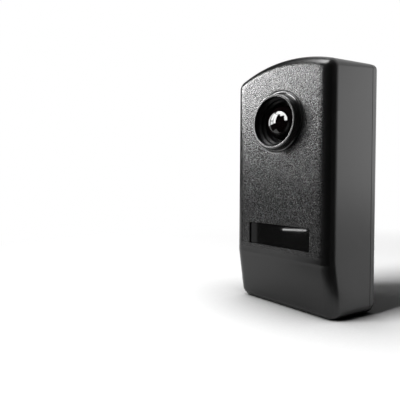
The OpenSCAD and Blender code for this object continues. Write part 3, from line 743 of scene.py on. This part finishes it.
def cover_fittings():
    """What the cover carries inside: the pad at the foot, the pane's stakes and the ribs that steady
    its sides."""
    inside = []
    pad_top = screw_z + screw_head_r + head_room
    inside.append(Skin().block((-pad_w / 2, wall / 2, seam_z), (pad_w / 2, wall + pad_t, pad_top)))
    under = inner_z - pane_t - slack
    for side in (-1, 1):
        centre = (side * (window_w + pane_ear) / 2, window_y)
        inside.append(Skin().turned(
            [(0, under - stake_head_t), (stake_head_r, under - stake_head_t), (stake_head_r, under),
             (stake_r, under), (stake_r, inner_z + wall / 2), (0, inner_z + wall / 2)], centre, 32))
        near, far = side * (body_w / 2 - wall - draft - rib_d), side * (body_w / 2 - wall - draft + wall / 2)
        for share in rib_shares:
            y = share * body_h
            inside.append(Skin().block(
                (min(near, far), y, spigot_z + 0.1), (max(near, far), y + rib_t, body_d - face_edge_r)))
    return inside


def screw_slot(radius, depth):
    """A slot in the foot, round at the cover screw and open towards the wall."""
    rounded = arc((0, screw_z), radius, 0, 180, 24)
    ring = np.concatenate([[(radius, seam_z - over)], rounded, [(-radius, seam_z - over)]])
    return Skin().prism(ring, -over, depth, along=1)


def front_cover(satin, grained, collar_black, well_black):
    """The moulded cover: outer skin, collar and well, slot, inner skin, and the ribs, stakes and
    screw pad inside."""
    lip = 0.07
    edge_steps, satin_steps = 16, 7
    seam = ring(0, seam_z + lip)
    outer_r, inner_r = face_edge_r, face_edge_r - wall
    outer = edge_strip(outer_r, seam, edge_steps)
    bottom = ring(wall, spigot_z)
    inner = edge_strip(inner_r, bottom, 6)
    skin = Skin()
    skin.grid(np.stack([ring(lip, seam_z), seam]), 0, round_columns=True)
    rows = np.linspace(0, 1, 9)[:, None, None]
    skin.grid(seam + rows * (outer[0] - seam), 0, round_columns=True)
    skin.grid(outer[:satin_steps + 1], 0, round_columns=True)
    skin.grid(outer[satin_steps:], 1, round_columns=True)
    face_sheet(skin, outer[-1][:, :2], outer_r, collar_r + collar_fillet_r, slot_ring(), 1)
    outside, well, back = collar_profile()
    skin.turned(outside, (0, lens_y), finish=2)
    skin.turned(well, (0, lens_y), finish=3)
    skin.turned(back, (0, lens_y), finish=0)
    slot = slot_ring()
    z_out, z_in = face_height(slot[:, 1], outer_r), face_height(slot[:, 1], inner_r)
    skin.grid(np.stack([np.column_stack([slot, z]) for z in (z_out, z_in)]), 3, round_columns=True)
    face_sheet(skin, inner[-1][:, :2], inner_r, barrel_r, slot_ring(), 0)
    skin.grid(inner, 0, round_columns=True)
    skin.grid(bottom + np.linspace(0, 1, 4)[:, None, None] * (inner[0] - bottom), 0, round_columns=True)
    skin.grid(np.stack([bottom, ring(wall, seam_z), ring(lip, seam_z)]), 0, round_columns=True)
    tools = [(fitting, "UNION") for fitting in cover_fittings()]
    slots = [screw_slot(screw_slot_r, wall + pad_t + over), screw_slot(screw_head_r + head_gap, head_sink)]
    tools += [(cut, "DIFFERENCE") for cut in slots]
    data = carved("cover_shell", skin, tools)
    obj = piece(data, [satin, grained, collar_black, well_black], "cover", ["front_cover"])
    return shade(obj)


def lens(material):
    """The lens: a polished half ball on its flange."""
    flange_z = dome_lo[2]
    flange_r = (dome_hi[0] - dome_lo[0]) / 2
    flange_t = 1.2
    profile = np.concatenate([
        soften([(0, flange_z), (flange_r, flange_z), (flange_r, flange_z + flange_t),
                (dome_r, flange_z + flange_t), (dome_r, dome_z)], soft_edge),
        arc((0, dome_z), dome_r, 0, 90, 48)])
    data = Skin().turned(profile, (0, lens_y), steps=128).mesh("lens")
    return shade(piece(data, [material], "cover", ["lens_dome"]))


def pane(material):
    """The window pane: a flange behind the wall, and a raised field with softened edges in the slot."""
    data = Skin()
    low, top = pane_lo[2], pane_hi[2]
    flange = soften([
        (pane_lo[0], pane_lo[1]), (pane_hi[0], pane_lo[1]), (pane_hi[0], pane_hi[1]),
        (pane_lo[0], pane_hi[1])], pane_corner, steps=6, closed=True)
    data.prism(flange, low, low + pane_t)
    field = slot_ring(-slack)
    middle = np.tile([0, window_y], (len(field), 1))
    rings = [middle, field, field, slot_ring(-slack - soft_edge), middle]
    heights = [low + pane_t / 2, low + pane_t / 2, top - soft_edge, top, top]
    data.grid(np.stack([
        np.column_stack([r, np.full(len(field), z)]) for r, z in zip(rings, heights)]), 0, round_columns=True)
    return shade(piece(data.mesh("window"), [material], "cover", ["window_pane"]))


def refined(node, material, body, bevel=0.08):
    """A CAD node's mesh, welded, with softened edges and smooth shading, in its place."""
    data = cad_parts[node].data.copy()
    data.name = node + "_finished"
    data.materials.clear()
    tidy(data, 0.002 * MM)
    limited_flats(data)
    obj = piece(data, [material], body, [node])
    return shade(obj, bevel=bevel)


def limited_flats(data):
    """Joins the triangles of each flat face, so that a rounding of its edges meets no inner edge."""
    work = bmesh.new()
    work.from_mesh(data)
    bmesh.ops.dissolve_limit(
        work, angle_limit=math.radians(0.5), verts=work.verts, edges=work.edges, delimit={"NORMAL"})
    work.to_mesh(data)
    work.free()


# The studio

camera_at = Vector((0.1268, -0.15405, 0.0544))
camera_yaw = 1.0199
camera_pitch = 0.0175
camera_roll = 0.0053
focal_length = 37.22
camera_shift = (0.1114, -0.0215)


def place_camera():
    """Looks down by the pitch and turned left of the wall's normal by the yaw."""
    forward = Vector((
        -math.sin(camera_yaw) * math.cos(camera_pitch), math.cos(camera_yaw) * math.cos(camera_pitch),
        -math.sin(camera_pitch)))
    right = Vector((math.cos(camera_yaw), math.sin(camera_yaw), 0))
    up = right.cross(forward)
    side = (right + camera_roll * up).normalized()
    top = side.cross(forward)
    camera = bpy.data.objects.new("camera", bpy.data.cameras.new("camera"))
    camera.data.lens = focal_length
    camera.data.sensor_width = 36
    camera.data.shift_x, camera.data.shift_y = camera_shift
    camera.data.clip_start = 0.005
    turn = Matrix((side, top, -forward)).transposed()
    camera.matrix_world = Matrix.Translation(camera_at) @ turn.to_4x4()
    bpy.context.scene.collection.objects.link(camera)
    bpy.context.scene.camera = camera


def aimed(azimuth, elevation, distance, target):
    """A place and the turn that faces the target from it. Azimuth 0 is in front of the face, and 90
    is at its right."""
    a, e = math.radians(azimuth), math.radians(elevation)
    way = Vector((math.sin(a) * math.cos(e), -math.cos(a) * math.cos(e), math.sin(e)))
    return target + way * distance, way.to_track_quat("Z", "Y")


def window_of_light(name, azimuths, elevations, radiance, distance=0.6, target=(0, 0, 0.08), **seen):
    """A softbox that fills a span of azimuth and one of elevation, as seen from the lens."""
    a, e = sum(azimuths) / 2, sum(elevations) / 2
    half = math.radians(azimuths[1] - azimuths[0]) / 2, math.radians(elevations[1] - elevations[0]) / 2
    width = 2 * distance * math.tan(half[0]) * math.cos(math.radians(e))
    return softbox(name, a, e, width, 2 * distance * math.tan(half[1]), radiance, distance, target, **seen)


def softbox(name, azimuth, elevation, width, height, radiance, distance=0.6, target=(0, 0, 0.06),
            diffuse=True, glossy=True, only=None, but=None):
    """An area lamp of that radiance, width and height in metres, that faces the case. It can be kept
    off diffuse surfaces, as a card for the gloss alone, or out of the gloss, and on or off one piece."""
    data = bpy.data.lights.new(name, "AREA")
    data.shape = "RECTANGLE"
    data.size, data.size_y = width, height
    data.energy = radiance * math.pi * width * height
    lamp = bpy.data.objects.new(name, data)
    lamp.location, turn = aimed(azimuth, elevation, distance, Vector(target))
    lamp.rotation_mode = "QUATERNION"
    lamp.rotation_quaternion = turn
    lamp.visible_camera, lamp.visible_diffuse, lamp.visible_glossy = False, diffuse, glossy
    bpy.context.scene.collection.objects.link(lamp)
    if only or but:
        lit = bpy.data.collections.new(name + "_lit")
        lit.objects.link(only or but)
        lamp.light_linking.receiver_collection = lit
        lit.collection_objects[0].light_linking.link_state = "INCLUDE" if only else "EXCLUDE"
    return lamp


def looking_rays(tree):
    """1 for what the camera sees, straight, in a gloss or through glass, and 0 for diffuse light."""
    path = Value(tree)
    names = ("Camera", "Glossy", "Transmission")
    seen, gloss, glass = (path.node("ShaderNodeLightPath", {}, output="Is %s Ray" % name) for name in names)
    return path.maths("MAXIMUM", path.maths("MAXIMUM", seen, gloss), glass)


def place_floor():
    """A wide pale floor that takes the case's shadow, and is plain white away from it."""
    half = 3.0
    data = bpy.data.meshes.new("floor")
    corners = [(-half, -half, 0), (half, -half, 0), (half, half, 0), (-half, half, 0)]
    data.from_pydata(corners, [], [(0, 1, 2, 3)])
    floor = bpy.data.objects.new("floor", data)
    bpy.context.scene.collection.objects.link(floor)
    f = Finish("pale_floor", Roughness=0.8, Specular_IOR_Level=0.0)
    # Painted contact shade: the floor's colour is darkened by its ambient occlusion near the case, on top of
    # the lamps' own shadow.
    painted_occlusion = f.place.node("ShaderNodeAmbientOcclusion", {"Distance": 0.038}, output="AO", samples=8)
    pale = f.place.noise(60, detail=2.0) * 0.02 + 0.91
    f.set("Base Color", (painted_occlusion.maths("POWER", painted_occlusion, 1.25) * pale).blend(grey(0.0), grey(1.0)))
    centre = Vector((0.1, 0.1, 0))
    far = f.place.node("ShaderNodeVectorMath", {0: f.place, 1: centre}, output="Value", operation="DISTANCE")
    white = f.place.node("ShaderNodeEmission", {"Color": grey(1.0), "Strength": looking_rays(f.tree)})
    fade = far.between(0.16, 0.4)
    surface = Value(f.tree, f.shader.outputs[0])
    mixed = fade.node("ShaderNodeMixShader", {0: fade, 1: surface, 2: white})
    f.tree.links.new(mixed.socket, f.tree.nodes["Material Output"].inputs["Surface"])
    data.materials.append(f.material)


def place_flags(name, profile, azimuths):
    """Black cloth round the case: a profile of (radius, height) in metres, turned through a span of
    azimuth. Only gloss and glass see it, so that it keeps the white room out of the polished pieces."""
    a = np.radians(np.linspace(*azimuths, 49))
    r, z = np.array(profile).T[:, :, None]
    points = np.stack([r * np.sin(a), -r * np.cos(a), z + 0 * a], axis=-1)
    cloth = Skin().grid(points)
    data = bpy.data.meshes.new(name)
    data.from_pydata(cloth.points[0].tolist(), [], cloth.faces)
    flag = bpy.data.objects.new(name, data)
    flag.visible_camera = flag.visible_diffuse = flag.visible_shadow = False
    bpy.context.scene.collection.objects.link(flag)
    f = Finish("black_flock", Roughness=0.95, Specular_IOR_Level=0.0)
    f.set("Base Color", f.place.noise(2, detail=3.0).blend(grey(0.002), grey(0.004)))
    data.materials.append(f.material)


def place_world(ambient):
    """White where the camera, gloss and glass look past the floor, and a faint light elsewhere."""
    world = bpy.data.worlds.new("studio")
    world.use_nodes = True
    bpy.context.scene.world = world
    tree = world.node_tree
    back = tree.nodes["Background"]
    back.inputs["Color"].default_value = grey(1.0)
    level = looking_rays(tree) * (1 - ambient) + ambient
    tree.links.new(level.socket, back.inputs["Strength"])


place_camera()
place_floor()
place_flags("wall_flags", [(1.0, 0.002), (1.0, 0.9), (0.001, 0.9)], (-130, 112))
place_flags("front_flag", [(0.125, 0.001), (1.0, 0.001)], (-66, -22))
place_flags("right_flag", [(0.048, 0.001), (1.0, 0.001)], (-22, 112))
place_world(0.01)

satin = satin_plastic("black_satin_plastic")
grained = grained_plastic()
collar_black = satin_plastic("black_collar_plastic", base=0.004, rough=0.19, gleam=1.0)
well_black = satin_plastic("black_well_plastic", base=0.004, rough=0.3, gleam=0.22)
inner_black = satin_plastic("black_inner_plastic", base=0.022, rough=0.5)
steel = plated_steel()

front_cover(satin, grained, collar_black, well_black)
dome = lens(lens_plastic())
window = pane(glossy_black("smoked_pane", 0.003, 0.03))

CAD_FINISHES = {
    "rear_base": ("base", "case", satin),
    "cover_gasket": ("base", "seal", soft_rubber("gasket_rubber", 0.04)),
    "cover_screw": ("base", "steel", steel),
    "cable_grommet": ("base", "seal", soft_rubber("grommet_rubber", 0.028)),
    "lens_seal": ("cover", "seal", soft_rubber("seal_rubber", 0.03)),
    "lens_ring": ("cover", "inner_black", inner_black),
    "circuit_board": ("base", "board", board_lacquer()),
    "board_screws": ("base", "steel", steel),
    "sensor_shroud": ("base", "inner_black", inner_black),
    "infrared_sensor": ("base", "sensor", glossy_black("filtered_epoxy", 0.012, 0.08, (1.2, 0.7, 1.1))),
    "terminal_block": ("base", "terminal", moulded("green_terminal_plastic", (0.03, 0.25, 0.09))),
    "terminal_screws": ("base", "steel", steel),
    "wire_clamps": ("base", "steel", steel),
    "relay": ("base", "relay", moulded("pale_relay_plastic", (0.72, 0.7, 0.62), rough=0.3, gloss=0.2)),
    "main_capacitor": ("base", "sleeve", capped_sleeve("main_capacitor")),
    "small_capacitors": ("base", "sleeve", capped_sleeve("small_capacitors")),
    "bridge_rectifier": ("base", "epoxy", legged_epoxy("bridge_epoxy", "bridge_rectifier", -1)),
    "voltage_regulator": ("base", "epoxy", legged_epoxy("regulator_epoxy", "voltage_regulator", 2)),
    "surge_varistor": ("base", "varistor", moulded("blue_varistor_coating", (0.02, 0.09, 0.32), 0.3, 0.3)),
    "amplifier_chip": ("base", "epoxy", legged_epoxy("chip_epoxy", "amplifier_chip", 0.3)),
    "resistors": ("base", "resistor", banded_lacquer()),
    "led_spacers": ("base", "spacer", moulded("white_spacer_nylon", (0.75, 0.75, 0.73))),
    "status_leds": ("base", "led", clear_epoxy()),
    "trimmer_body": ("base", "trimmer", moulded("blue_trimmer_plastic", (0.03, 0.12, 0.45), 0.3, 0.3)),
    "trimmer_rotor": ("trimmer", "rotor", moulded("white_rotor_plastic", (0.8, 0.8, 0.77), 0.3, 0.2)),
    "jumper_strip": ("base", "inner_black", inner_black),
    "jumper_pins": ("base", "pin", gold_flash()),
    "jumper_cap": ("jumper", "jumper", moulded("red_jumper_plastic", (0.4, 0.02, 0.02), 0.3, 0.3)),
}
for node, (body, slot, material) in CAD_FINISHES.items():
    refined(node, material, body)


def light_the_case():
    """A frontal key light with two fills for the floor and its shadow, and cards for the gloss: a low
    one behind the right side, one over the crest, a small one for the collar's lip, windows at the
    left, and those that only the lens or the pane shows."""
    softbox("key_light", -12, 38, 1.1, 1.1, 28.7, 2.5, (0, 0, 0), glossy=False)
    softbox("fill_light", -40, 37, 0.6, 0.6, 2.2, 1.5, (0, 0, 0), glossy=False)
    softbox("hair_light", -128, 74, 0.4, 0.4, 1.0, 1.2, (0, 0, 0), glossy=False)
    softbox("back_softbox", 147, 10, 0.45, 0.28, 0.95, diffuse=False)
    window_of_light("crest_window", (-50, 20), (55, 82), 13.0, diffuse=False, but=dome)
    window_of_light("lip_card", (-46, -40), (4, 10.5), 11.5, diffuse=False, but=dome)
    left = [((-69, -54), 13, 40.0), ((-50, -38), 18, 22.0), ((-35, -27), 18, 4.0)]
    for place, (azimuths, low, radiance) in enumerate(left):
        name = "left_softbox_%d" % place
        window_of_light(name, azimuths, (low, 33), radiance, 0.4, diffuse=False, but=dome)
    panes = [
        ((-124, -90), (-4, 42), 1.5), ((-86, -64), (-4, 46), 6.0), ((-60, -38), (-4, 10), 13.0),
        ((-60, -38), (14, 46), 17.0), ((-36, -18), (-2, 46), 20.0), ((38, 58), (10, 44), 20.0),
        ((-112, -64), (50, 72), 5.0), ((-60, -6), (48, 80), 17.0), ((-4, 96), (44, 80), 20.0)]
    for place, (azimuths, elevations, radiance) in enumerate(panes):
        window_of_light("lens_window_%d" % place, azimuths, elevations, radiance, diffuse=False, only=dome)
    low = Vector((0, face_y, window_y)) * MM
    softbox("window_streak", -38, -5.1, 0.02, 0.0012, 12.0, 0.2, low, diffuse=False, only=window)
    softbox("window_haze", -50.5, -7, 0.022, 0.03, 0.35, 0.2, low, diffuse=False, only=window)


light_the_case()

bpy.context.scene.view_settings.view_transform = "Standard"
